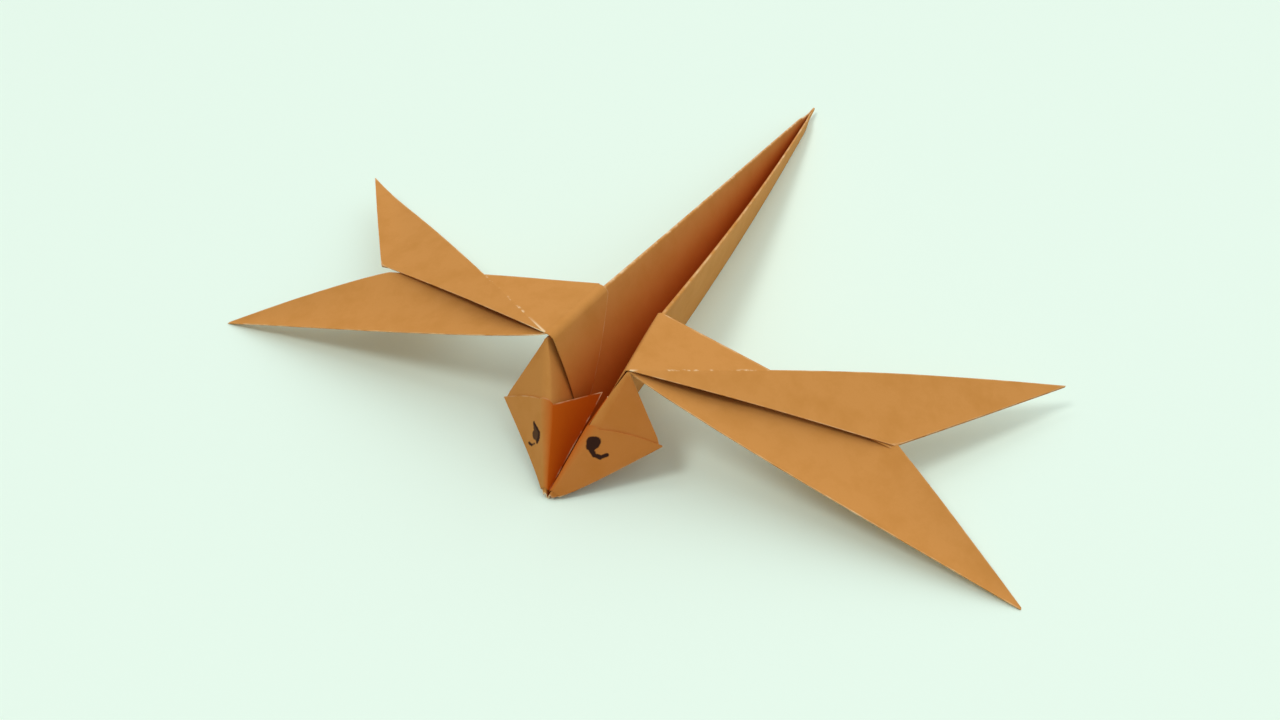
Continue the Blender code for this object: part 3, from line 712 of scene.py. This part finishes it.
def fold_pocket(name, pose, paper):
    shares = [0.05] + [mix(0.05, 0.96, share) for share in spaced(16)[1:]] + [0.985, 1.0]
    rows = [pocket_row(share, pose) for share in shares]
    shade = pose["cheek_shade"]
    inside = [shade] * (FOLD_STEPS + 1 + OUTER_HALF_STEPS)
    inside += [mix(shade, 1.0, share) for share in spaced(POCKET_ROLL_STEPS - 1)]
    inside += [1.0] * INNER_HALF_STEPS
    # Worn and highlit spots at the nose, the free corner and the top edge: rubbed fibre and
    # painted highlight.
    nose_spot = (rows[0][0], 1.6)
    corner_spot = (rows[-1][-1], pose["bare_and_highlit_corner"])
    edge_spot = (pocket_row(0.44, pose)[-1], 1.2 * pose["bare_and_highlit_corner"])
    panel = (rows, pose["rubbed_and_highlit"], [("column", -1)], inside)
    fold_sheet(name, [panel], paper, [corner_spot, nose_spot, edge_spot])


# The same craft paper, with the right eye's ink: a round pupil with a hooked tail.
right_paper = craft_paper("craft_paper_right_eye")
ink_eye(right_paper, (0.004945, -0.056775, 0.008878), (1.1101, 0.0, 0.5446), [
    (INK, [((-0.30, 0.35), (0.35, 0.32), 1.75), ((-0.40, -0.45), (0.20, -0.05), 1.75),
           ((-0.45, -1.10), (0.05, -2.05), 0.85), ((0.05, -2.05), (0.95, -2.50), 0.80),
           ((0.95, -2.50), (2.10, -2.15), 0.68)]),
])
# The same craft paper, with the left eye's ink: a thinly filled half moon over a short tick.
left_paper = craft_paper("craft_paper_left_eye")
ink_eye(left_paper, (-0.005321, -0.057671, 0.007465), (1.1843, 0.0, -0.6111), [
    (INK_THIN, [((-1.10, 0.72), (-0.20, -0.20), 0.75), ((-0.15, -0.50), (0.60, -0.30), 1.60),
                ((0.00, -2.55), (0.60, -1.76), 0.35), ((-0.40, 0.45), (0.45, 0.25), 0.90)]),
    (INK, [((-1.50, 1.00), (0.72, 0.72), 0.55), ((0.72, 0.72), (1.10, -0.05), 0.62),
           ((1.10, -0.05), (1.05, -1.10), 0.60), ((-0.86, -2.86), (0.00, -2.57), 0.55)]),
])
fold_pocket("right_head_pocket", RIGHT_POCKET, right_paper)
fold_pocket("left_head_pocket", LEFT_POCKET, left_paper)


# Table
# A smooth pale mint-white table top that the dragonfly lies on. Its paint is wiped clean and
# nearly matt, so it shows soft shadows and no reflection.
table_paint = bpy.data.materials.new("pale_table")
table_paint.use_nodes = True
table_shader = table_paint.node_tree.nodes["Principled BSDF"]
table_shader.inputs["Base Color"].default_value = linear("#E7FBED")
table_shader.inputs["Roughness"].default_value = 0.6
table_shader.inputs["Specular IOR Level"].default_value = 0.2
top = bmesh.new()
bmesh.ops.create_grid(top, x_segments=1, y_segments=1, size=2.0)
table_mesh = bpy.data.meshes.new("table")
top.to_mesh(table_mesh)
top.free()
table_mesh.materials.append(table_paint)
table = bpy.data.objects.new("table", table_mesh)
bpy.context.scene.collection.objects.link(table)


# Light
# A pale room that is brightest overhead and behind the dragonfly, and two large soft lamps on the
# left, one level with the head and one in front, for short shadows to the right. Directions and
# strengths were found by trial against the photo.
for lamp_name, energy, travel in (("side_lamp", 0.15, (0.62, 0.03, -1.0)),
                                  ("front_lamp", 0.82, (0.40, 0.44, -1.0))):
    lamp = bpy.data.lights.new(lamp_name, "SUN")
    lamp.energy = energy
    lamp.angle = math.radians(16)
    lamp_stand = bpy.data.objects.new(lamp_name, lamp)
    lamp_stand.rotation_mode = "QUATERNION"
    lamp_stand.rotation_quaternion = Vector(travel).to_track_quat("-Z", "Y")
    bpy.context.scene.collection.objects.link(lamp_stand)
room = bpy.data.worlds.new("pale_room")
room.use_nodes = True
room_tree = room.node_tree
toward = add(room_tree, "ShaderNodeTexCoord", {}).outputs["Generated"]
behind = add(room_tree, "ShaderNodeVectorMath", {0: toward, 1: (0.45, 0.9, 0.0)},
             operation="DOT_PRODUCT").outputs["Value"]
behind = add(room_tree, "ShaderNodeMapRange", {"Value": behind, "From Min": -1.0,
                                               "To Max": 1.46}).outputs["Result"]
overhead = add(room_tree, "ShaderNodeSeparateXYZ", {"Vector": toward}).outputs["Z"]
overhead = add(room_tree, "ShaderNodeMapRange",
               {"Value": overhead, "To Min": 0.20, "To Max": 1.40}).outputs["Result"]
level = add(room_tree, "ShaderNodeMath", {0: behind, 1: overhead}, operation="MULTIPLY")
around = add(room_tree, "ShaderNodeBackground",
             {"Color": linear("#FFFFFF"), "Strength": level.outputs[0]})
seen = add(room_tree, "ShaderNodeBackground", {"Color": linear("#E2F7E8"), "Strength": 1.0})
path = add(room_tree, "ShaderNodeLightPath", {})
either = add(room_tree, "ShaderNodeMixShader",
             {0: path.outputs["Is Camera Ray"], 1: around.outputs[0], 2: seen.outputs[0]})
room_tree.links.new(either.outputs[0], room_tree.nodes["World Output"].inputs["Surface"])
bpy.context.scene.world = room


# Camera
# It looks down on the dragonfly from in front and a little to its side, as the photo does. It
# aims at a point on the table between the wings, from 24 cm away.
TURN, TILT, ROLL = 0.45352, 0.75548, -0.00195
DISTANCE = 0.240115
photo_lens = bpy.data.cameras.new("photo_camera")
photo_lens.sensor_fit = "HORIZONTAL"
photo_lens.sensor_width = 36.0
photo_lens.lens = 36.88
photo_lens.clip_start = 0.01
camera = bpy.data.objects.new("photo_camera", photo_lens)
turned = Matrix.Rotation(TURN, 4, "Z") @ Matrix.Rotation(math.pi / 2 - TILT, 4, "X")
aim = (Vector((-0.855, 36.536, 0.0)) + NOSE_IN_FRAME) / 1000
camera.matrix_world = Matrix.Translation(aim) @ turned @ Matrix.Rotation(ROLL, 4, "Z")
camera.location = aim + turned.to_3x3() @ Vector((0.0, 0.0, DISTANCE))
bpy.context.scene.collection.objects.link(camera)
bpy.context.scene.camera = camera

bpy.context.scene.view_settings.view_transform = "Standard"
